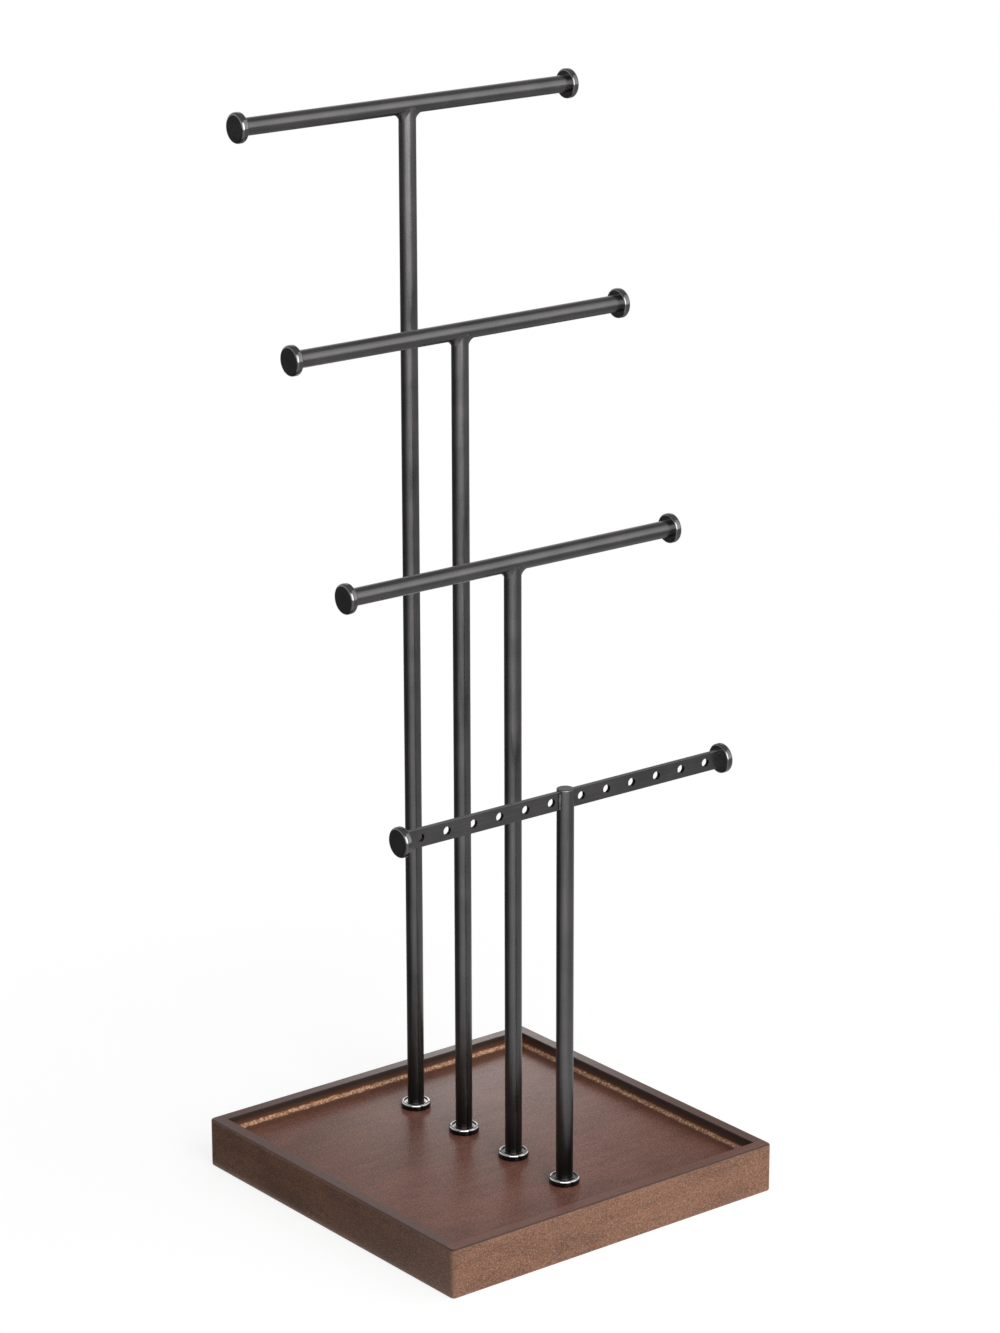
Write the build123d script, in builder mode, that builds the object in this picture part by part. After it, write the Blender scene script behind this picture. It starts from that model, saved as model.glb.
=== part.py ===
from build123d import *
import os
from math import cos, radians, sin, sqrt

# A jewellery stand: four T-shaped hangers stand in a row on a square wooden tray, the
# tallest at the back. Each one turns on the screw that holds it down, under its collar.
# X runs along the crossbars, Y from the front to the back and Z up. The origin is the
# middle of the tray's underside. Sizes are in millimetres.

os.makedirs("parts", exist_ok=True)

# Tray: four mitred rails round a floor panel that sits in a groove. A hollow cove, dented by
# a share of its size, runs round the foot of the rails' inner faces.
tray_side = 150.0
tray_height = 19.0
rim_width = 5.0
recess_depth = 5.0
cove_size = 1.3
cove_hollow = 0.62
groove_depth = 2.2
groove_clearance = 0.15
outer_corner_radius = 1.8
rim_outer_round = 0.9
rim_inner_round = 0.3
foot_round = 0.8

# Hangers: heights are those of the crossbars' middles above the tray's floor
post_spacing = 30.0
tier_1_height = 385.5
tier_2_height = 308.5
tier_3_height = 229.5
tier_4_height = 148.5
rod_diameter = 6.35
bar_span = 150.0
foot_edge_chamfer = 0.3

# Welds below the round crossbars: the share of a leg that each face is hollowed by, and
# the angles round the rod, in degrees, of the slices that shape them
weld_leg = 2.6
weld_hollow = 0.62
weld_slice_angles = (-75, -60, -40, -20, 0, 20, 40, 60, 75)

# Earring bar: a flat bar through a window near the top of the shortest post, with holes
flat_bar_height = 7.0
flat_bar_thickness = 1.5
flat_bar_round = 0.25
window_clearance = 0.03
post_top_rise = 0.6
post_top_round = 0.45
hole_diameter = 3.25
hole_pitch = 11.7
first_hole_gap = 2.1
hole_end_margin = 4.0
bead_radius = 0.75
bead_end_gap = 0.5

# End caps: discs with a blind socket for the end of the bar
cap_overhang = 2.325
cap_thickness = 2.8
cap_skin = 1.0
cap_front_round = 1.0
cap_back_round = 0.7
socket_clearance = 0.02

# Collars: round cups that the posts' feet stand in
collar_base = 0.9
cup_depth = 1.5
collar_wall = 2.45
collar_round = 0.8
collar_foot_round = 0.3
dish_depth = 0.5
rim_wall = 1.05
inner_ring_width = 0.5
inner_ring_drop = 0.15
collar_clearance = 0.04

# Fixings: an M4 pan-head screw and washer under the floor for each post
screw_diameter = 4.0
thread_engagement = 6.3
thread_clearance = 0.03
tapped_tip_room = 1.7
screw_tip_chamfer = 0.5
floor_hole_clearance = 0.2
head_overhang = 2.0
head_wall = 1.3
head_dome = 1.3
head_ground_gap = 2.6
recess_width = 0.9
recess_span = 4.4
recess_sink = 1.4
washer_overhang = 0.5
washer_thickness = 0.8

# Levels, from the surface that the stand rests on
head_height = head_wall + head_dome
floor_top = tray_height - recess_depth
floor_bottom = head_ground_gap + head_height + washer_thickness
floor_thickness = floor_top - floor_bottom
post_foot = floor_top + collar_base
tier_heights = (tier_1_height, tier_2_height, tier_3_height, tier_4_height)
bar_levels = [floor_top + height for height in tier_heights]

# Widths and radii
well_side = tray_side - 2 * rim_width
foot_side = well_side - 2 * cove_size
groove_side = well_side + 2 * groove_depth
panel_side = groove_side - 2 * groove_clearance
rod_radius = rod_diameter / 2
screw_radius = screw_diameter / 2
screw_hole_radius = screw_radius + floor_hole_clearance
cap_radius = rod_radius + cap_overhang
bar_length = bar_span - 2 * cap_skin
window_width = flat_bar_thickness + 2 * window_clearance
tapped_depth = thread_engagement + tapped_tip_room

# The hangers' rows, from the tallest at the back to the shortest at the front
tiers = range(len(tier_heights))
flat_tier = tiers[-1]
post_rows = [post_spacing * ((len(tiers) - 1) / 2 - tier) for tier in tiers]


def finish(builder, name):
    """Label a finished piece and write it to its own file."""
    builder.part.label = name
    export_step(builder.part, f"parts/{name}.step")


# --- Tray ------------------------------------------------------------------------------

# The space in the foot of the tray's well: its sides swell outwards into the hollow cove
cove_top = floor_top + cove_size
cove_dent = cove_size * cove_hollow
with BuildPart() as well_foot:
    for side_plane, mode in ((Plane.XZ, Mode.ADD), (Plane.YZ, Mode.INTERSECT)):
        with BuildSketch(side_plane):
            with BuildLine():
                Line((0, floor_top), (foot_side / 2, floor_top))
                ThreePointArc(
                    (foot_side / 2, floor_top),
                    (foot_side / 2 + cove_dent, cove_top - cove_dent),
                    (well_side / 2, cove_top),
                )
                Line((well_side / 2, cove_top), (0, cove_top))
                mirror(about=Plane.YZ)
            make_face()
        extrude(amount=tray_side / 2, both=True, mode=mode)

# The ring of the four rails, before the mitres are cut
with BuildPart() as tray_ring:
    with BuildSketch():
        RectangleRounded(tray_side, tray_side, outer_corner_radius)
    extrude(amount=tray_height)
    fillet(tray_ring.edges().group_by(Axis.Z)[-1], radius=rim_outer_round)
    fillet(tray_ring.edges().group_by(Axis.Z)[0], radius=foot_round)
    with BuildSketch(Plane.XY.offset(cove_top)):
        Rectangle(well_side, well_side)
    extrude(amount=tray_height - cove_top, mode=Mode.SUBTRACT)
    rim_edges = tray_ring.edges().group_by(Axis.Z)[-1].filter_by(GeomType.LINE)
    fillet(rim_edges.sort_by(SortBy.LENGTH)[:4], radius=rim_inner_round)
    add(well_foot.part, mode=Mode.SUBTRACT)
    with BuildSketch(Plane.XY.offset(floor_bottom)):
        Rectangle(groove_side, groove_side)
    extrude(amount=floor_thickness, mode=Mode.SUBTRACT)
    with BuildSketch():
        Rectangle(well_side, well_side)
    extrude(amount=floor_bottom, mode=Mode.SUBTRACT)


def mitre_plane(angle):
    """An upright plane through the tray's middle that faces this way."""
    return Plane(origin=(0, 0, 0), z_dir=(cos(radians(angle)), sin(radians(angle)), 0))


# Each rail is the part of the ring between two mitres
for rail_name, facing in (("right", 0), ("back", 90), ("left", 180), ("front", 270)):
    with BuildPart() as rail:
        add(tray_ring.part)
        split(bisect_by=mitre_plane(facing - 45), keep=Keep.TOP)
        split(bisect_by=mitre_plane(facing + 45), keep=Keep.TOP)
    finish(rail, f"{rail_name}_rail")

# The floor panel lies in the rails' groove and has a hole for each post's screw
with BuildPart() as tray_floor:
    with BuildSketch(Plane.XY.offset(floor_bottom)):
        Rectangle(panel_side, panel_side)
        with Locations(*[(0, row) for row in post_rows]):
            Circle(screw_hole_radius, mode=Mode.SUBTRACT)
    extrude(amount=floor_thickness)
finish(tray_floor, "tray_floor")


# --- Round hangers ---------------------------------------------------------------------

def weld_section(place, row, level):
    """A slice, square to Y, through the weld: two hollow fillets below the crossbar.

    place runs from -1 to 1 across the rod. The slices shrink towards the rod's sides,
    where its skin runs into the post's.
    """
    scale = sqrt(1 - place**2)
    corner = scale * rod_radius
    reach = scale * (rod_radius + weld_leg)
    dent = corner + scale * weld_leg * (1 - weld_hollow)
    with BuildSketch(Plane.XZ.offset(-row - place * rod_radius)) as section:
        with BuildLine():
            Line((-reach, level), (reach, level))
            Line((reach, level), (reach, level - corner))
            ThreePointArc((reach, level - corner), (dent, level - dent), (corner, level - reach))
            Line((corner, level - reach), (-corner, level - reach))
            ThreePointArc((-corner, level - reach), (-dent, level - dent), (-reach, level - corner))
            Line((-reach, level - corner), (-reach, level))
        make_face()
    return section.sketch


weld_places = [sin(radians(angle)) for angle in weld_slice_angles]

for tier in tiers[:flat_tier]:
    number = tier + 1
    row = post_rows[tier]
    level = bar_levels[tier]

    with BuildPart() as crossbar:
        with BuildSketch(Plane.YZ.offset(-bar_length / 2)):
            with Locations((row, level)):
                Circle(rod_radius)
        extrude(amount=bar_length)
    finish(crossbar, f"crossbar_{number}")

    # The post's top is coped to the crossbar and its foot is tapped for the screw
    with BuildPart() as post:
        with BuildSketch(Plane.XY.offset(post_foot)):
            with Locations((0, row)):
                Circle(rod_radius)
        extrude(amount=level - post_foot)
        chamfer(post.edges().sort_by(Axis.Z)[0], length=foot_edge_chamfer)
        with BuildSketch(Plane.XY.offset(post_foot)):
            with Locations((0, row)):
                Circle(screw_radius)
        extrude(amount=tapped_depth, mode=Mode.SUBTRACT)
        add(crossbar.part, mode=Mode.SUBTRACT)
    finish(post, f"post_{number}")

    with BuildPart() as weld:
        loft([weld_section(place, row, level) for place in weld_places])
        add(crossbar.part, mode=Mode.SUBTRACT)
        with BuildSketch(Plane.XY.offset(post_foot)):
            with Locations((0, row)):
                Circle(rod_radius)
        extrude(amount=level - post_foot, mode=Mode.SUBTRACT)
    finish(weld, f"weld_{number}")


# --- Earring hanger --------------------------------------------------------------------

flat_row = post_rows[flat_tier]
flat_level = bar_levels[flat_tier]
flat_bottom = flat_level - flat_bar_height / 2
hole_radius = hole_diameter / 2
first_hole = rod_radius + first_hole_gap + hole_radius
hole_run = bar_span / 2 - cap_thickness - hole_end_margin - hole_radius - first_hole
holes_per_side = 1 + int(hole_run / hole_pitch)
hole_places = [
    side * (first_hole + step * hole_pitch) for side in (-1, 1) for step in range(holes_per_side)
]

# A row of earring holes runs along each half of the flat bar
with BuildPart() as earring_bar:
    with BuildSketch(Plane.YZ.offset(-bar_length / 2)):
        with Locations((flat_row, flat_level)):
            Rectangle(flat_bar_thickness, flat_bar_height)
    extrude(amount=bar_length)
    fillet(earring_bar.edges().filter_by(Axis.X), radius=flat_bar_round)
    with BuildSketch(Plane.XZ.offset(-flat_row + flat_bar_thickness / 2)):
        with Locations(*[(place, flat_level) for place in hole_places]):
            Circle(hole_radius)
    extrude(amount=-flat_bar_thickness, mode=Mode.SUBTRACT)
finish(earring_bar, "earring_bar")

# The shortest post has a window for the flat bar, just below its rounded top
with BuildPart() as holed_post:
    with BuildSketch(Plane.XY.offset(post_foot)):
        with Locations((0, flat_row)):
            Circle(rod_radius)
    extrude(amount=flat_bottom + flat_bar_height + post_top_rise - post_foot)
    fillet(holed_post.edges().sort_by(Axis.Z)[-1], radius=post_top_round)
    chamfer(holed_post.edges().sort_by(Axis.Z)[0], length=foot_edge_chamfer)
    with BuildSketch(Plane.XY.offset(post_foot)):
        with Locations((0, flat_row)):
            Circle(screw_radius)
    extrude(amount=tapped_depth, mode=Mode.SUBTRACT)
    with BuildSketch(Plane.XY.offset(flat_bottom)):
        with Locations((0, flat_row)):
            Rectangle(2 * rod_diameter, window_width)
    extrude(amount=flat_bar_height, mode=Mode.SUBTRACT)
finish(holed_post, f"post_{flat_tier + 1}")

# Four upright weld beads fill the corners between the post and the flat bar
with BuildPart() as weld_beads:
    corner_reach = sqrt(rod_radius**2 - (flat_bar_thickness / 2) ** 2)
    with BuildSketch(Plane.XY.offset(flat_bottom + bead_end_gap)):
        with Locations((0, flat_row)):
            with GridLocations(2 * corner_reach, flat_bar_thickness, 2, 2):
                Circle(bead_radius)
    extrude(amount=flat_bar_height - 2 * bead_end_gap)
    add(holed_post.part, mode=Mode.SUBTRACT)
    with BuildSketch(Plane.XY.offset(flat_bottom)):
        with Locations((0, flat_row)):
            Rectangle(2 * rod_diameter, window_width)
    extrude(amount=flat_bar_height, mode=Mode.SUBTRACT)
finish(weld_beads, f"weld_{flat_tier + 1}")


# --- End caps --------------------------------------------------------------------------

for tier in tiers:
    for side, side_name in ((-1, "left"), (1, "right")):
        face_middle = (side * bar_span / 2, post_rows[tier], bar_levels[tier])
        # The profile runs inwards from the middle of the cap's face
        profile_plane = Plane(origin=face_middle, x_dir=(-side, 0, 0), z_dir=(0, 1, 0))
        with BuildPart() as end_cap:
            with BuildSketch(profile_plane):
                Rectangle(cap_thickness, cap_radius, align=(Align.MIN, Align.MIN))
                fillet(vertices().group_by(Axis.Y)[-1].sort_by(Axis.X)[0], radius=cap_front_round)
                fillet(vertices().group_by(Axis.Y)[-1].sort_by(Axis.X)[-1], radius=cap_back_round)
            revolve(axis=Axis(face_middle, (1, 0, 0)))
            with BuildSketch(Plane.YZ.offset(side * bar_length / 2)):
                with Locations((post_rows[tier], bar_levels[tier])):
                    if tier == flat_tier:
                        Rectangle(
                            flat_bar_thickness + 2 * socket_clearance,
                            flat_bar_height + 2 * socket_clearance,
                        )
                    else:
                        Circle(rod_radius + socket_clearance)
            extrude(amount=-side * cap_thickness, mode=Mode.SUBTRACT)
        finish(end_cap, f"end_cap_{tier + 1}_{side_name}")


# --- Collars and fixings ---------------------------------------------------------------

foot_socket_radius = rod_radius + collar_clearance
collar_radius = foot_socket_radius + collar_wall
collar_height = collar_base + cup_depth
inner_ring_radius = foot_socket_radius + inner_ring_width
inner_ring_level = collar_height - inner_ring_drop
rim_radius = collar_radius - rim_wall
dish_level = collar_height - dish_depth
thread_radius = screw_radius - thread_clearance
head_radius = screw_radius + head_overhang
washer_radius = head_radius + washer_overhang
shank_end = head_height + washer_thickness + floor_thickness + collar_base + thread_engagement

for tier in tiers:
    number = tier + 1
    row = post_rows[tier]
    post_axis = Axis((0, row, 0), (0, 0, 1))
    collar_plane = Plane(origin=(0, row, floor_top), x_dir=(1, 0, 0), z_dir=(0, -1, 0))
    screw_plane = Plane(origin=(0, row, head_ground_gap), x_dir=(1, 0, 0), z_dir=(0, -1, 0))

    # A cup with a rounded rim, a shallow dish inside it and a thin ring round the post
    with BuildPart() as collar:
        with BuildSketch(collar_plane):
            with BuildLine():
                Polyline(
                    (screw_hole_radius, 0),
                    (collar_radius, 0),
                    (collar_radius, collar_height),
                    (rim_radius, collar_height),
                    (rim_radius, dish_level),
                    (inner_ring_radius, dish_level),
                    (inner_ring_radius, inner_ring_level),
                    (foot_socket_radius, inner_ring_level),
                    (foot_socket_radius, collar_base),
                    (screw_hole_radius, collar_base),
                    close=True,
                )
            make_face()
            fillet(vertices().group_by(Axis.Y)[-1].sort_by(Axis.X)[-1], radius=collar_round)
            fillet(vertices().group_by(Axis.X)[-1].sort_by(Axis.Y)[0], radius=collar_foot_round)
        revolve(axis=post_axis)
    finish(collar, f"collar_{number}")

    with BuildPart() as washer:
        with BuildSketch(Plane.XY.offset(floor_bottom - washer_thickness)):
            with Locations((0, row)):
                Circle(washer_radius)
                Circle(screw_hole_radius, mode=Mode.SUBTRACT)
        extrude(amount=washer_thickness)
    finish(washer, f"washer_{number}")

    # A domed head with a cross recess, below a shank that reaches into the post's foot
    with BuildPart() as post_screw:
        with BuildSketch(screw_plane):
            with BuildLine():
                TangentArc((0, 0), (head_radius, head_dome), tangent=(1, 0))
                Polyline(
                    (head_radius, head_dome),
                    (head_radius, head_height),
                    (thread_radius, head_height),
                    (thread_radius, shank_end - screw_tip_chamfer),
                    (thread_radius - screw_tip_chamfer, shank_end),
                    (0, shank_end),
                    (0, 0),
                )
            make_face()
        revolve(axis=post_axis)
        with BuildSketch(Plane.XY.offset(head_ground_gap)):
            with Locations((0, row)):
                Rectangle(recess_span, recess_width)
                Rectangle(recess_width, recess_span)
        extrude(amount=recess_sink, mode=Mode.SUBTRACT)
    finish(post_screw, f"post_screw_{number}")
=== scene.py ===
from math import cos, pi, radians, sin

import bpy
from mathutils import Matrix, Vector


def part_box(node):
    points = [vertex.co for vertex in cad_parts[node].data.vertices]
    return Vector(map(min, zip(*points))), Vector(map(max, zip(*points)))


# The looks of a four-tier jewellery stand: satin gunmetal hangers with polished discs and
# collars on a stained wooden tray. Lengths are in metres; X runs along the crossbars, Y to
# the back and Z up, as in the frame.
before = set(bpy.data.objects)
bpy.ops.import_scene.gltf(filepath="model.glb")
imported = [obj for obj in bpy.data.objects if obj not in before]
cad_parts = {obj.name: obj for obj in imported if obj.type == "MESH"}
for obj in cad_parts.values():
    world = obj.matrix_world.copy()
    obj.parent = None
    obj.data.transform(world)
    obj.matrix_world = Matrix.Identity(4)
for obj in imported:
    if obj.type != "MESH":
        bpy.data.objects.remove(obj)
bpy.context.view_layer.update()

MM = 0.001

# Places on the stand, taken from the frame
tray_low, tray_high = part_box("left_rail")
_, floor_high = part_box("tray_floor")
bar_low, bar_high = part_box("earring_bar")
rim_top = tray_high.z
floor_top = floor_high.z
earring_hole_level = ((bar_low + bar_high) / 2).z

rim_width = 5 * MM
rim_roll = 0.9 * MM
well_half = -tray_low.x - rim_width


# --- Node trees --------------------------------------------------------------------------

class Recipe:
    """A node tree that is written one node at a time.

    What goes into a node is a plain value or another node's output.
    """

    def __init__(self, tree):
        self.tree = tree
        tree.nodes.clear()

    def node(self, kind, inputs=None, **settings):
        """Add a node. inputs maps a socket's name or number to what goes in."""
        made = self.tree.nodes.new(kind)
        for key, value in settings.items():
            setattr(made, key, value)
        for key, value in (inputs or {}).items():
            if isinstance(value, bpy.types.NodeSocket):
                self.tree.links.new(value, made.inputs[key])
            else:
                made.inputs[key].default_value = value
        return made

    def math(self, operation, *values):
        made = self.node("ShaderNodeMath", dict(enumerate(values)), operation=operation)
        return made.outputs[0]

    def plus(self, first, second):
        return self.math("ADD", first, second)

    def minus(self, first, second):
        return self.math("SUBTRACT", first, second)

    def times(self, first, second):
        return self.math("MULTIPLY", first, second)

    def over(self, first, second):
        return self.math("DIVIDE", first, second)

    def larger(self, first, second):
        return self.math("MAXIMUM", first, second)

    def size(self, value):
        return self.math("ABSOLUTE", value)

    def vector_math(self, operation, *vectors):
        """A node for vectors, with a Vector output and a Value output."""
        return self.node("ShaderNodeVectorMath", dict(enumerate(vectors)), operation=operation)

    def parts(self, vector):
        """A vector's x, y and z."""
        return self.node("ShaderNodeSeparateXYZ", {0: vector}).outputs

    def coordinates(self, kind):
        """Texture coordinates. Object and Normal stay with a piece that moves."""
        return self.node("ShaderNodeTexCoord").outputs[kind]

    def world_place(self):
        return self.node("ShaderNodeNewGeometry").outputs["Position"]

    def stretched(self, scales):
        """Object coordinates, multiplied along each axis."""
        return self.vector_math("MULTIPLY", self.coordinates("Object"), scales).outputs["Vector"]

    def noise(self, scales, detail=2.0, roughness=0.5, distortion=0.0):
        """Noise whose grains are 1/scale metres long on each axis, as a value from 0 to 1."""
        inputs = {
            "Vector": self.stretched(scales),
            "Scale": 1.0,
            "Detail": detail,
            "Roughness": roughness,
            "Distortion": distortion,
        }
        return self.node("ShaderNodeTexNoise", inputs).outputs["Fac"]

    def remap(self, value, low, high, to_low=0.0, to_high=1.0, smooth=False):
        """value taken from the range low..high to the range to_low..to_high, and held there."""
        inputs = {
            "Value": value,
            "From Min": low,
            "From Max": high,
            "To Min": to_low,
            "To Max": to_high,
        }
        kind = "SMOOTHSTEP" if smooth else "LINEAR"
        made = self.node("ShaderNodeMapRange", inputs, interpolation_type=kind, clamp=True)
        return made.outputs["Result"]

    def blend(self, share, first, second, mode="MIX"):
        """Two colours mixed by a share from 0 to 1."""
        inputs = {0: share, 6: first, 7: second}
        return self.node("ShaderNodeMix", inputs, data_type="RGBA", blend_type=mode).outputs[2]

    def grey(self, value):
        """A value as a grey."""
        return self.node("ShaderNodeCombineColor", {key: value for key in range(3)}).outputs[0]

    def shaded(self, colour, value):
        """A colour multiplied by a value."""
        return self.blend(1.0, colour, self.grey(value), "MULTIPLY")

    def bump(self, height, depth, normal=None):
        """A bump of this depth in metres for a height from 0 to 1."""
        inputs = {"Height": height, "Strength": 1.0, "Distance": depth}
        if normal is not None:
            inputs["Normal"] = normal
        return self.node("ShaderNodeBump", inputs).outputs["Normal"]

    def diffuse(self, colour):
        return self.node("ShaderNodeBsdfDiffuse", {"Color": colour}).outputs[0]

    def glow(self, strength):
        """White light of its own."""
        inputs = {"Color": (1, 1, 1, 1), "Strength": strength}
        return self.node("ShaderNodeEmission", inputs).outputs[0]

    def mix_shaders(self, share, first, second):
        return self.node("ShaderNodeMixShader", {0: share, 1: first, 2: second}).outputs[0]

    def finish(self, shader):
        """End the tree of a material in this shader."""
        self.node("ShaderNodeOutputMaterial", {"Surface": shader})


def new_material(name):
    made = bpy.data.materials.new(name)
    made.use_nodes = True
    return made, Recipe(made.node_tree)


def surface(recipe, **sockets):
    """End a tree in a Principled shader with these sockets, named with _ for a space."""
    inputs = {key.replace("_", " "): value for key, value in sockets.items()}
    recipe.finish(recipe.node("ShaderNodeBsdfPrincipled", inputs).outputs[0])


def evenly(scale):
    """Scales for a pattern that is the same along each axis."""
    return scale, scale, scale


def along(axis, lengthwise, across):
    """Scales for a pattern drawn out along one axis, numbered 0 to 2."""
    return tuple(lengthwise if number == axis else across for number in range(3))


# --- Metals ------------------------------------------------------------------------------

# The part of a noise's range that most of it lies in
COMMON_NOISE = (0.35, 0.65)

GUNMETAL_DARK = (0.100, 0.098, 0.100, 1)
GUNMETAL_LIGHT = (0.120, 0.114, 0.117, 1)
GUNMETAL_WORN = (0.165, 0.160, 0.162, 1)
HOLE_PAINTED_SHADE = (0.008, 0.007, 0.007, 1)

# Painted shade by the tray: a rod is painted darkest 2 mm above the tray's floor and has its own
# tone from 44 mm above it up
painted_shade_dark_level = floor_top + 2 * MM
painted_shade_end_level = floor_top + 44 * MM
FOOT_PAINTED_SHADE = 0.18

# How far from the row of holes their walls can lie, up or down
HOLE_REACH = (2.0 * MM, 2.4 * MM)


def satin_gunmetal(name, axis, hole_level=None):
    """Dark plated steel with a soft sheen, drawn faintly along the rod, with painted shade
    darkening it by the tray.

    A flat bar with a row of holes at hole_level has black painted shade inside the holes.
    """
    made, recipe = new_material(name)
    clouds = recipe.noise(evenly(70), detail=3)
    draw_lines = recipe.noise(along(axis, 60, 1800), detail=2)
    grain = recipe.noise(evenly(3200), detail=1)
    tint = recipe.blend(recipe.remap(clouds, *COMMON_NOISE), GUNMETAL_DARK, GUNMETAL_LIGHT)
    wear = recipe.remap(draw_lines, 0.55, 0.75, 0, 0.35)
    worn = recipe.blend(wear, tint, GUNMETAL_WORN)

    level, _, _ = frame_places(recipe)
    # Painted shade: the rod is painted darker towards the tray, darkest at its foot
    tone = recipe.remap(level, painted_shade_dark_level, painted_shade_end_level, FOOT_PAINTED_SHADE, 1.0, smooth=True)
    plated = recipe.shaded(worn, tone)
    if hole_level is not None:
        # Painted shade: the walls of the holes are painted near black
        frontways = recipe.parts(recipe.coordinates("Normal"))[1]
        off_row = recipe.size(recipe.minus(level, hole_level))
        hole_shade_share = recipe.times(
            recipe.remap(recipe.size(frontways), 0.3, 0.6, 1, 0),
            recipe.remap(off_row, *HOLE_REACH, 1, 0),
        )
        plated = recipe.blend(hole_shade_share, plated, HOLE_PAINTED_SHADE)

    lined = recipe.bump(draw_lines, 0.003 * MM)
    surface(
        recipe,
        Base_Color=plated,
        Metallic=1.0,
        Roughness=recipe.remap(recipe.plus(clouds, draw_lines), 0.7, 1.3, 0.25, 0.32),
        Normal=recipe.bump(grain, 0.004 * MM, lined),
    )
    return made


DISC_EDGE_DARK = (0.118, 0.114, 0.118, 1)
DISC_EDGE_LIGHT = (0.150, 0.146, 0.150, 1)
DISC_FACE_PAINTED_LIFT_DARK = (0.165, 0.160, 0.165, 1)
DISC_FACE_PAINTED_LIFT_LIGHT = (0.200, 0.195, 0.200, 1)


def black_nickel(name):
    """Polished dark plating with fine wipe marks, with painted light that makes the disc's flat
    face a little lighter.
    """
    made, recipe = new_material(name)
    clouds = recipe.noise(evenly(180), detail=3)
    wipes = recipe.noise((420, 2400, 2400), detail=2, distortion=0.4)
    endways = recipe.parts(recipe.coordinates("Normal"))[0]
    # Painted light: the flat face is given a lighter colour than the rim
    face = recipe.remap(recipe.size(endways), 0.93, 0.99)
    dark = recipe.blend(face, DISC_EDGE_DARK, DISC_FACE_PAINTED_LIFT_DARK)
    light = recipe.blend(face, DISC_EDGE_LIGHT, DISC_FACE_PAINTED_LIFT_LIGHT)
    surface(
        recipe,
        Base_Color=recipe.blend(recipe.remap(clouds, *COMMON_NOISE), dark, light),
        Metallic=1.0,
        Roughness=recipe.remap(wipes, 0.4, 0.7, 0.10, 0.16),
        Normal=recipe.bump(wipes, 0.0004 * MM),
    )
    return made


COLLAR_TOP_DARK = (0.60, 0.58, 0.58, 1)
COLLAR_TOP_LIGHT = (0.70, 0.68, 0.68, 1)
COLLAR_SIDE_PAINTED_SHADE_DARK = (0.020, 0.018, 0.019, 1)
COLLAR_SIDE_PAINTED_SHADE_LIGHT = (0.034, 0.031, 0.032, 1)


def nickel_with_painted_shade_side(name):
    """Polished nickel where it faces up, and painted near black down the side as painted shade."""
    made, recipe = new_material(name)
    wipes = recipe.noise(evenly(900), detail=2, distortion=0.4)
    facing_up = recipe.parts(recipe.coordinates("Normal"))[2]
    wiped = recipe.remap(wipes, *COMMON_NOISE)
    bright = recipe.blend(wiped, COLLAR_TOP_DARK, COLLAR_TOP_LIGHT)
    dark = recipe.blend(wiped, COLLAR_SIDE_PAINTED_SHADE_DARK, COLLAR_SIDE_PAINTED_SHADE_LIGHT)
    surface(
        recipe,
        # Painted shade: the side that faces out and down is painted near black
        Base_Color=recipe.blend(recipe.remap(facing_up, 0.30, 0.62), dark, bright),
        Metallic=1.0,
        Roughness=recipe.remap(wipes, 0.4, 0.7, 0.12, 0.19),
        Normal=recipe.bump(wipes, 0.0006 * MM),
    )
    return made


WELD_DARK = (0.095, 0.092, 0.096, 1)
WELD_LIGHT = (0.135, 0.130, 0.133, 1)


def weld_metal(name):
    """The plated weld: the rods' colour, cloudier and pitted."""
    made, recipe = new_material(name)
    clouds = recipe.noise(evenly(500), detail=3)
    pits = recipe.noise(evenly(1500), detail=2)
    surface(
        recipe,
        Base_Color=recipe.blend(recipe.remap(clouds, *COMMON_NOISE), WELD_DARK, WELD_LIGHT),
        Metallic=1.0,
        Roughness=recipe.remap(clouds, 0.3, 0.7, 0.22, 0.36),
        Normal=recipe.bump(pits, 0.02 * MM),
    )
    return made


ZINC_DARK = (0.55, 0.55, 0.56, 1)
ZINC_LIGHT = (0.68, 0.68, 0.67, 1)


def zinc_steel(name):
    """Bright zinc-plated steel with a spangled grain."""
    made, recipe = new_material(name)
    spangle = recipe.node(
        "ShaderNodeTexVoronoi", {"Vector": recipe.stretched(evenly(900)), "Scale": 1.0}
    ).outputs["Distance"]
    turned = recipe.noise((300, 300, 4000), detail=2)
    surface(
        recipe,
        Base_Color=recipe.blend(spangle, ZINC_DARK, ZINC_LIGHT),
        Metallic=1.0,
        Roughness=recipe.remap(turned, *COMMON_NOISE, 0.28, 0.42),
        Normal=recipe.bump(turned, 0.004 * MM),
    )
    return made


# --- Stained wood ------------------------------------------------------------------------

# The stain's colours on the open faces of the rails and of the floor panel
RAIL_LIGHT = (0.315, 0.145, 0.087, 1)
RAIL_DARK = (0.208, 0.092, 0.054, 1)
PANEL_LIGHT = (0.260, 0.092, 0.062, 1)
PANEL_DARK = (0.172, 0.057, 0.037, 1)

PAINTED_GLINT_TINT = (0.56, 0.35, 0.22, 1)
PORE_TINT = (0.045, 0.020, 0.013, 1)
FRONT_RIM_TINT = (0.225, 0.090, 0.062, 1)
RIM_TINT = (0.145, 0.074, 0.064, 1)
ROLLED_EDGE_TINT = (0.050, 0.019, 0.013, 1)
RUBBED_EDGE_TINT = (0.36, 0.22, 0.17, 1)
WALL_LOW_TINT = (0.150, 0.058, 0.024, 1)
WALL_HIGH_TINT = (0.024, 0.011, 0.009, 1)
CORNER_PAINTED_SHADE_TINT = (0.070, 0.026, 0.017, 1)
PAINTED_HIGHLIGHT_DARK = (0.30, 0.12, 0.05, 1)
PAINTED_HIGHLIGHT_LIGHT = (0.95, 0.56, 0.34, 1)

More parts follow.
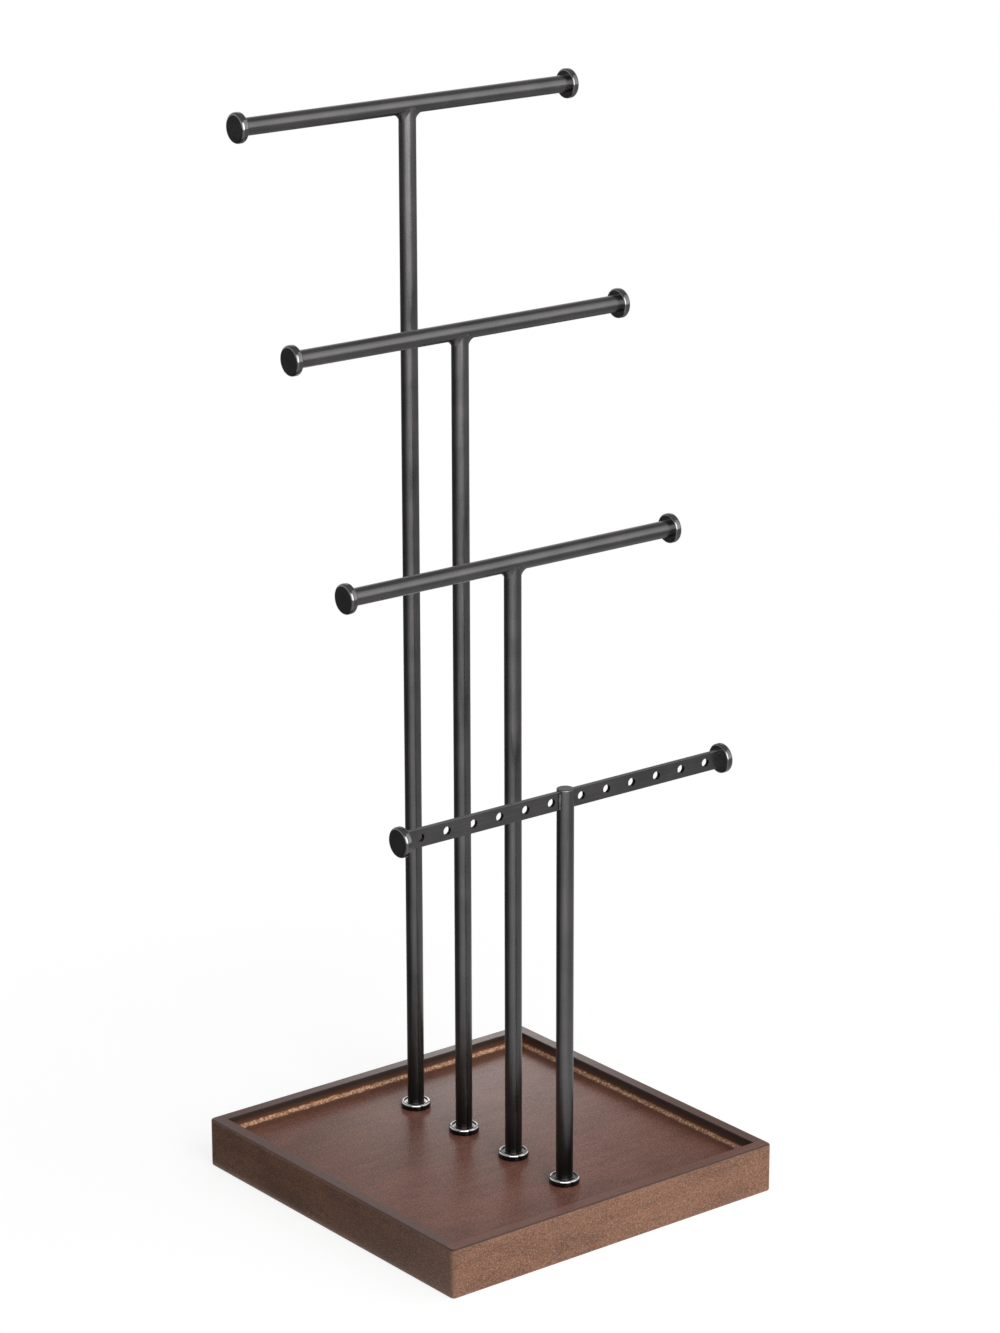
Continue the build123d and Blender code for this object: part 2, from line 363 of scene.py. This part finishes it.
# Where the stain changes: from and to these levels, or these places along Y or outward
on_rim_levels = (rim_top - 0.4 * MM, rim_top - 0.1 * MM)
roll_levels = (rim_top - rim_roll, rim_top - rim_roll / 2)
front_rim_places = (-well_half - 0.2 * MM, -well_half)
wall_face_places = (well_half + 0.10 * MM, well_half + 0.40 * MM)
wall_foot_levels = (floor_top, floor_top + 0.3 * MM)
wall_tint_levels = (floor_top + 1.4 * MM, floor_top + 3.4 * MM)

# The same for distances from the inner wall, from the floor and from the corner of both
INSIDE_WALL = (-0.4 * MM, -0.2 * MM)
OFF_FLOOR = (0.1 * MM, 0.3 * MM)
CORNER_PAINTED_SHADE_REACH = (1.8 * MM, 8.0 * MM)
PAINTED_HIGHLIGHT_REACH = (0.7 * MM, 1.5 * MM)
CORNER_WANDER = 2.2 * MM


def frame_places(recipe):
    """A point's height, its distance out from the middle along X or Y, and its place along Y."""
    x, y, level = recipe.parts(recipe.coordinates("Object"))
    return level, recipe.larger(recipe.size(x), recipe.size(y)), y


def turned_shares(recipe):
    """1 where the face turns, as on arrises, rounds and the cove, and 1 where it faces up."""
    facing = recipe.parts(recipe.coordinates("Normal"))
    x, y, z = (recipe.size(part) for part in facing)
    squareness = recipe.larger(recipe.larger(x, y), z)
    turning = recipe.remap(squareness, 0.86, 0.985, 1, 0, smooth=True)
    return turning, recipe.remap(facing[2], 0.85, 0.97)


def open_wood(recipe, axis, light, dark, grains, open_pores):
    """The colour of an open face: blotched, figured, speckled and pored, with painted glints."""
    blotches = recipe.noise((34, 34, 60), detail=3, roughness=0.6)
    figure = recipe.noise(along(axis, 40, 260), detail=3, distortion=0.5)
    glint_noise = recipe.noise(along(axis, 2100, 2700), detail=1)
    mottle = recipe.plus(recipe.times(blotches, 0.55), recipe.times(figure, 0.45))
    stain = recipe.blend(recipe.remap(mottle, 0.38, 0.62), dark, light)
    speckled = recipe.shaded(stain, recipe.remap(grains, 0.3, 0.7, 0.56, 1.46))
    # Painted glints: small light flecks painted into the colour
    with_painted_glints = recipe.blend(recipe.remap(glint_noise, 0.55, 0.70, 0, 0.62), speckled, PAINTED_GLINT_TINT)
    return recipe.blend(open_pores, with_painted_glints, PORE_TINT)


def with_rim(recipe, colour, places, turning, on_rim, grains):
    """The rim's tint, dark where it rolls over and rubbed thin at the tray's upright corners."""
    level, _, depthwise = places
    behind_front = recipe.remap(depthwise, *front_rim_places)
    tint = recipe.blend(behind_front, FRONT_RIM_TINT, RIM_TINT)
    rimmed = recipe.blend(recipe.times(on_rim, 0.85), colour, tint)
    rolled = recipe.times(turning, recipe.remap(level, *roll_levels, 0, 1))
    rubbed = recipe.times(turning, recipe.remap(level, *roll_levels, 0.5, 0))
    ragged = recipe.remap(grains, *COMMON_NOISE, 0.35, 1.0)
    edged = recipe.blend(recipe.times(rolled, 0.95), rimmed, ROLLED_EDGE_TINT)
    return recipe.blend(recipe.times(rubbed, ragged), edged, RUBBED_EDGE_TINT)


def with_walls(recipe, colour, places):
    """Darker, redder walls inside the tray, lighter towards their foot."""
    level, outward, _ = places
    on_wall = recipe.times(
        recipe.remap(outward, *wall_face_places, 1, 0),
        recipe.remap(level, *wall_foot_levels, 0, 1),
    )
    wall_tint = recipe.blend(recipe.remap(level, *wall_tint_levels), WALL_LOW_TINT, WALL_HIGH_TINT)
    return recipe.blend(recipe.times(on_wall, 0.97), colour, wall_tint)


def with_wall_foot(recipe, colour, places, grains):
    """The foot of the walls: a ragged bronze line of painted highlight in the corner and a painted
    shade on the floor.
    """
    level, outward, _ = places
    from_wall = recipe.minus(well_half, outward)
    from_floor = recipe.minus(level, floor_top)
    from_corner = recipe.larger(from_wall, from_floor)
    inside = recipe.remap(from_wall, *INSIDE_WALL)
    ragged = recipe.minus(recipe.noise(evenly(420), detail=4, roughness=0.65), 0.5)
    reach = recipe.plus(from_corner, recipe.times(ragged, CORNER_WANDER))

    # Painted shade: the floor is painted darker near the foot of the walls
    near_corner = recipe.remap(reach, *CORNER_PAINTED_SHADE_REACH, 0.6, 0, smooth=True)
    on_floor = recipe.remap(from_floor, *OFF_FLOOR, 1, 0)
    shade = recipe.times(recipe.times(inside, near_corner), on_floor)
    footed = recipe.blend(shade, colour, CORNER_PAINTED_SHADE_TINT)

    # Painted highlight: a bright bronze line along the foot of the walls
    bronze = recipe.blend(recipe.remap(grains, 0.42, 0.62), PAINTED_HIGHLIGHT_DARK, PAINTED_HIGHLIGHT_LIGHT)
    on_highlight_line = recipe.times(inside, recipe.remap(reach, *PAINTED_HIGHLIGHT_REACH, 1, 0))
    return recipe.blend(on_highlight_line, footed, bronze)


def stained_wood(name, axis, light, dark, shine, coat, coat_roughness):
    """Fine-pored stained wood under a thin lacquer, with its grain along one axis.

    light and dark are the stain's colours on the open faces, and shine is the wood's own specular
    level under the lacquer. Inside the tray the walls are darker, and along their foot runs a
    bronze line of painted highlight.
    """
    made, recipe = new_material(name)
    grains = recipe.noise(along(axis, 1150, 1650), detail=2, roughness=0.65)
    pores = recipe.noise(along(axis, 420, 3400), detail=1)
    open_pores = recipe.remap(pores, 0.64, 0.72, 0, 0.45)
    places = frame_places(recipe)
    turning, facing_up = turned_shares(recipe)
    level, _, _ = places
    on_rim = recipe.times(facing_up, recipe.remap(level, *on_rim_levels))

    open_face = open_wood(recipe, axis, light, dark, grains, open_pores)
    rimmed = with_rim(recipe, open_face, places, turning, on_rim, grains)
    walled = with_walls(recipe, rimmed, places)
    finished = with_wall_foot(recipe, walled, places, grains)

    dull = recipe.remap(recipe.plus(grains, open_pores), 0.35, 0.85, 0.40, 0.56)
    pitted = recipe.bump(recipe.minus(1.0, open_pores), 0.03 * MM)
    surface(
        recipe,
        Base_Color=finished,
        Roughness=recipe.minus(dull, recipe.times(on_rim, 0.13)),
        Normal=recipe.bump(grains, 0.035 * MM, pitted),
        Specular_IOR_Level=shine,
        Coat_Weight=recipe.plus(coat, recipe.times(on_rim, 0.20)),
        Coat_Roughness=coat_roughness,
    )
    return made


# --- Dressing the frame's own pieces -----------------------------------------------------

ALONG_X, ALONG_Y, ALONG_Z = range(3)
RAIL_LACQUER = {"shine": 0.5, "coat": 0.15, "coat_roughness": 0.35}
PANEL_LACQUER = {"shine": 0.22, "coat": 0.6, "coat_roughness": 0.27}

wood_across = stained_wood("rail_wood_x", ALONG_X, RAIL_LIGHT, RAIL_DARK, **RAIL_LACQUER)
wood_deep = stained_wood("rail_wood_y", ALONG_Y, RAIL_LIGHT, RAIL_DARK, **RAIL_LACQUER)
wood_panel = stained_wood("panel_wood", ALONG_X, PANEL_LIGHT, PANEL_DARK, **PANEL_LACQUER)
metal_x = satin_gunmetal("gunmetal_x", ALONG_X)
metal_flat = satin_gunmetal("gunmetal_flat", ALONG_X, earring_hole_level)
metal_z = satin_gunmetal("gunmetal_z", ALONG_Z)
metal_weld = weld_metal("gunmetal_weld")
metal_disc = black_nickel("black_nickel")
metal_collar = nickel_with_painted_shade_side("nickel_with_painted_shade_side")
metal_zinc = zinc_steel("zinc_steel")

WOODEN = ("front_rail", "back_rail", "left_rail", "right_rail", "tray_floor")

# What the pieces' names start with; the first that fits counts
finishes = (
    ("front_rail", wood_across),
    ("back_rail", wood_across),
    ("left_rail", wood_deep),
    ("right_rail", wood_deep),
    ("tray_floor", wood_panel),
    ("post_screw", metal_zinc),
    ("washer", metal_zinc),
    ("post", metal_z),
    ("crossbar", metal_x),
    ("earring_bar", metal_flat),
    ("weld", metal_weld),
    ("end_cap", metal_disc),
    ("collar", metal_collar),
)


def finish_of(node_name):
    for start, material in finishes:
        if node_name.startswith(start):
            return material
    raise ValueError(node_name)


for name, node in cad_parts.items():
    slots = node.data.materials
    slots.clear()
    slots.append(finish_of(name))


# --- Studio ------------------------------------------------------------------------------

def in_scene(name, data):
    """An object with this data, linked to the scene."""
    made = bpy.data.objects.new(name, data)
    bpy.context.scene.collection.objects.link(made)
    return made


LAMP_TARGET = Vector((0, 0, 0.18))
LAMP_DISTANCE = 1.6


def soft_box(name, direction, width, height, radiance):
    """A rectangular lamp that faces the stand's middle. radiance is how bright it looks."""
    lamp = bpy.data.lights.new(name, "AREA")
    lamp.shape = "RECTANGLE"
    lamp.size = width
    lamp.size_y = height
    lamp.energy = radiance * pi * width * height
    made = in_scene(name, lamp)
    made.location = LAMP_TARGET + Vector(direction).normalized() * LAMP_DISTANCE
    facing = LAMP_TARGET - made.location
    made.rotation_euler = facing.to_track_quat("-Z", "Y").to_euler()
    return made


def panel(name, corners, material):
    """A flat stage piece with four corners."""
    mesh = bpy.data.meshes.new(name)
    mesh.from_pydata([Vector(corner) for corner in corners], [], [(0, 1, 2, 3)])
    mesh.materials.append(material)
    made = in_scene(name, mesh)
    return made


def level_panel(name, low_x, high_x, low_y, high_y, level, material):
    """A panel that lies level between these sides."""
    corners = ((low_x, low_y), (high_x, low_y), (high_x, high_y), (low_x, high_y))
    return panel(name, [(x, y, level) for x, y in corners], material)


def seen_share(recipe):
    """1 for what the camera sees, straight or mirrored or through glass, and 0 for soft light."""
    rays = recipe.node("ShaderNodeLightPath").outputs
    mirrored = recipe.larger(rays["Is Glossy Ray"], rays["Is Transmission Ray"])
    return recipe.larger(rays["Is Camera Ray"], mirrored)


GROUND_HALF = 8.0
GROUND_SHADE = 0.3
OPEN_GROUND_LIGHT = 0.55
SHADOW_REACH = (0.11, 0.36)


def ground_material():
    """Pale ground that looks white where it is open and keeps the stand's soft shadow."""
    made, recipe = new_material("ground")
    distance = recipe.vector_math("LENGTH", recipe.world_place()).outputs["Value"]
    near = recipe.remap(distance, *SHADOW_REACH, GROUND_SHADE, 0, smooth=True)
    glow = recipe.glow(recipe.minus(1.0, recipe.times(near, OPEN_GROUND_LIGHT)))
    shaded = recipe.diffuse(recipe.grey(near))
    seen = recipe.node("ShaderNodeAddShader", {0: glow, 1: shaded}).outputs[0]
    lit = recipe.diffuse((0.5, 0.5, 0.5, 1))
    recipe.finish(recipe.mix_shaders(seen_share(recipe), lit, seen))
    return made


def part_of(recipe, direction, place):
    """How far a place lies along a direction, both as vectors."""
    return recipe.vector_math("DOT_PRODUCT", place, direction).outputs["Value"]


def see_through(recipe, share, shader):
    """End a tree in a shader that shows by a share, over what lies behind."""
    clear = recipe.node("ShaderNodeBsdfTransparent").outputs[0]
    recipe.finish(recipe.mix_shaders(share, clear, shader))


CLOTH_HALF = 4.0
CLOTH_LEVEL = 0.0004
STAND_GAP = 0.0765
CLOTH_FRONT = (-0.618, -0.786, 0)
CLOTH_RIGHT = (0.866, -0.5, 0)


def shade_cloth_material():
    """Painted dark reflection: a black cloth on the ground round the stand, seen only in mirrors,
    thinnest in front and thickest behind at left.
    """
    made, recipe = new_material("shade_cloth")
    place = recipe.world_place()
    outward = recipe.vector_math("NORMALIZE", place).outputs["Vector"]
    distance = recipe.vector_math("LENGTH", place).outputs["Value"]
    to_front = part_of(recipe, CLOTH_FRONT, outward)
    to_right = part_of(recipe, CLOTH_RIGHT, outward)

    # How much of the ground shows through from left to right, and how much more in front
    right_end = recipe.remap(distance, 0.12, 0.3, 0.4, 1)
    right_share = recipe.remap(distance, 0.12, 0.45, 0.72, 0.5)
    even = recipe.remap(to_right, -1, right_end, 0.08, right_share)
    beyond = recipe.remap(distance, 0.09, 0.2, 0.15, 1, smooth=True)
    frontal = recipe.math("POWER", recipe.remap(to_front, 0.2, 1), 2.0)
    opening = recipe.times(beyond, frontal)
    open_share = recipe.plus(even, recipe.times(opening, recipe.minus(1.0, even)))
    black = recipe.diffuse((0.01, 0.01, 0.01, 1))
    see_through(recipe, recipe.minus(1.0, open_share), black)
    return made


CARD_SIDE = (0.786, -0.618)
CARD_AWAY = (0.618, 0.786)
CARD_DISTANCE = 0.22
CARD_HALF = 0.15
CARD_HEIGHT = 0.28
CARD_GAP = 0.002
CARD_GLOW = 0.13
SPOT_GLOW = 2.20
SPOT_SIDEWAYS = -0.004
SPOT_RIGHT_SPREAD = 0.062
SPOT_LEFT_SPREAD = 0.080
SPOT_LEVEL = 0.074
SPOT_UPRIGHT_SPREAD = 0.026


def back_card_material():
    """Painted reflection: a dark card behind the stand, seen only in mirrors, with a soft bright
    spot low in its middle.
    """
    made, recipe = new_material("back_card")
    place = recipe.world_place()
    sideways = part_of(recipe, (*CARD_SIDE, 0), place)
    height = recipe.parts(place)[2]

    # The spot falls off as a bell, wider to the left than to the right
    off_middle = recipe.minus(sideways, SPOT_SIDEWAYS)
    reach_across = recipe.larger(
        recipe.over(off_middle, SPOT_RIGHT_SPREAD), recipe.over(off_middle, -SPOT_LEFT_SPREAD)
    )
    reach_up = recipe.over(recipe.minus(height, SPOT_LEVEL), SPOT_UPRIGHT_SPREAD)
    fall = recipe.plus(
        recipe.math("POWER", reach_across, 2.0), recipe.math("POWER", reach_up, 2.0)
    )
    spot = recipe.math("EXPONENT", recipe.times(-1.0, fall))
    glow = recipe.glow(recipe.plus(CARD_GLOW, recipe.times(spot, SPOT_GLOW)))

    off_side = recipe.size(sideways)
    inside = recipe.times(
        recipe.remap(off_side, CARD_HALF - 0.03, CARD_HALF, 1, 0, smooth=True),
        recipe.remap(height, CARD_HEIGHT - 0.08, CARD_HEIGHT, 1, 0, smooth=True),
    )
    see_through(recipe, inside, glow)
    return made


def card_corner(side, height):
    x, y = (
        CARD_DISTANCE * away + side * CARD_HALF * across
        for away, across in zip(CARD_AWAY, CARD_SIDE)
    )
    return x, y, height


def studio_world():
    """A white cyclorama up to the horizon and a dimmer ceiling, with soft light from the right."""
    world = bpy.data.worlds.new("studio")
    bpy.context.scene.world = world
    world.use_nodes = True
    recipe = Recipe(world.node_tree)
    sideways, _, height = recipe.parts(recipe.coordinates("Generated"))
    ceiling_share = recipe.remap(height, 0.32, 0.72, smooth=True)
    studio = recipe.blend(ceiling_share, (1, 1, 1, 1), (0.42, 0.42, 0.43, 1))
    ambient = recipe.grey(recipe.remap(sideways, -0.6, 0.6, 0.05, 0.46))
    colour = recipe.blend(seen_share(recipe), ambient, studio)
    background = recipe.node("ShaderNodeBackground", {"Color": colour, "Strength": 1.0})
    recipe.node("ShaderNodeOutputWorld", {"Surface": background.outputs[0]})


# The camera that fits the photograph, in degrees, pixels and metres
CAMERA_AZIMUTH = -38.271
CAMERA_PITCH = 17.291
CAMERA_ROLL = -0.144
CAMERA_PLACE = (-0.908791, -1.159521, 0.659632)
FOCAL_PIXELS = 4263.554
IMAGE_HEIGHT = 1333
SENSOR_SIZE = 36


def set_camera():
    """A long lens level with the tallest bar, in front of the tray's left corner."""
    azimuth, pitch, roll = (
        radians(angle) for angle in (CAMERA_AZIMUTH, CAMERA_PITCH, CAMERA_ROLL)
    )
    back = Vector((sin(azimuth) * cos(pitch), -cos(azimuth) * cos(pitch), sin(pitch)))
    level_right = (-back).cross(Vector((0, 0, 1))).normalized()
    level_up = back.cross(level_right)
    right = cos(roll) * level_right + sin(roll) * level_up
    up = -sin(roll) * level_right + cos(roll) * level_up
    lens = bpy.data.cameras.new("camera")
    lens.sensor_width = SENSOR_SIZE
    lens.lens = FOCAL_PIXELS / IMAGE_HEIGHT * SENSOR_SIZE
    made = in_scene("camera", lens)
    turned = Matrix((right, up, back)).transposed().to_4x4()
    made.matrix_world = Matrix.Translation(Vector(CAMERA_PLACE)) @ turned
    bpy.context.scene.camera = made


set_camera()
studio_world()
level_panel(
    "ground", -GROUND_HALF, GROUND_HALF, -GROUND_HALF, GROUND_HALF, 0, ground_material()
)

# Painted reflections that the metal and the lacquer mirror: the camera and the soft light don't
# see these
card_corners = ((-1, CARD_GAP), (1, CARD_GAP), (1, CARD_HEIGHT), (-1, CARD_HEIGHT))
shades = [
    panel("back_card", [card_corner(*corner) for corner in card_corners], back_card_material())
]
cloth = shade_cloth_material()
cloth_sides = (
    (-CLOTH_HALF, -STAND_GAP, -CLOTH_HALF, CLOTH_HALF),
    (STAND_GAP, CLOTH_HALF, -CLOTH_HALF, CLOTH_HALF),
    (-STAND_GAP, STAND_GAP, -CLOTH_HALF, -STAND_GAP),
    (-STAND_GAP, STAND_GAP, STAND_GAP, CLOTH_HALF),
)
for number, sides in enumerate(cloth_sides, start=1):
    shades.append(level_panel(f"shade_cloth_{number}", *sides, CLOTH_LEVEL, cloth))
for shade in shades:
    shade.visible_camera = False
    shade.visible_diffuse = False
    shade.visible_shadow = False

soft_box("key", (-0.13, -0.9, 0.45), width=0.8, height=1.5, radiance=4.0)
catchlight = soft_box("catchlight", (-0.55, -0.8, 0.38), width=2.0, height=1.2, radiance=5.5)
soft_box("window", (0.59, -0.65, 0.48), width=1.0, height=1.6, radiance=1.0)

# The catchlight is for the metal's gloss alone: the lacquer would mirror it as a white patch
catchlight.visible_diffuse = False
metal_pieces = bpy.data.collections.new("metal_pieces")
for name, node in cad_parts.items():
    if name not in WOODEN:
        metal_pieces.objects.link(node)
catchlight.light_linking.receiver_collection = metal_pieces

bpy.context.scene.view_settings.view_transform = "Standard"
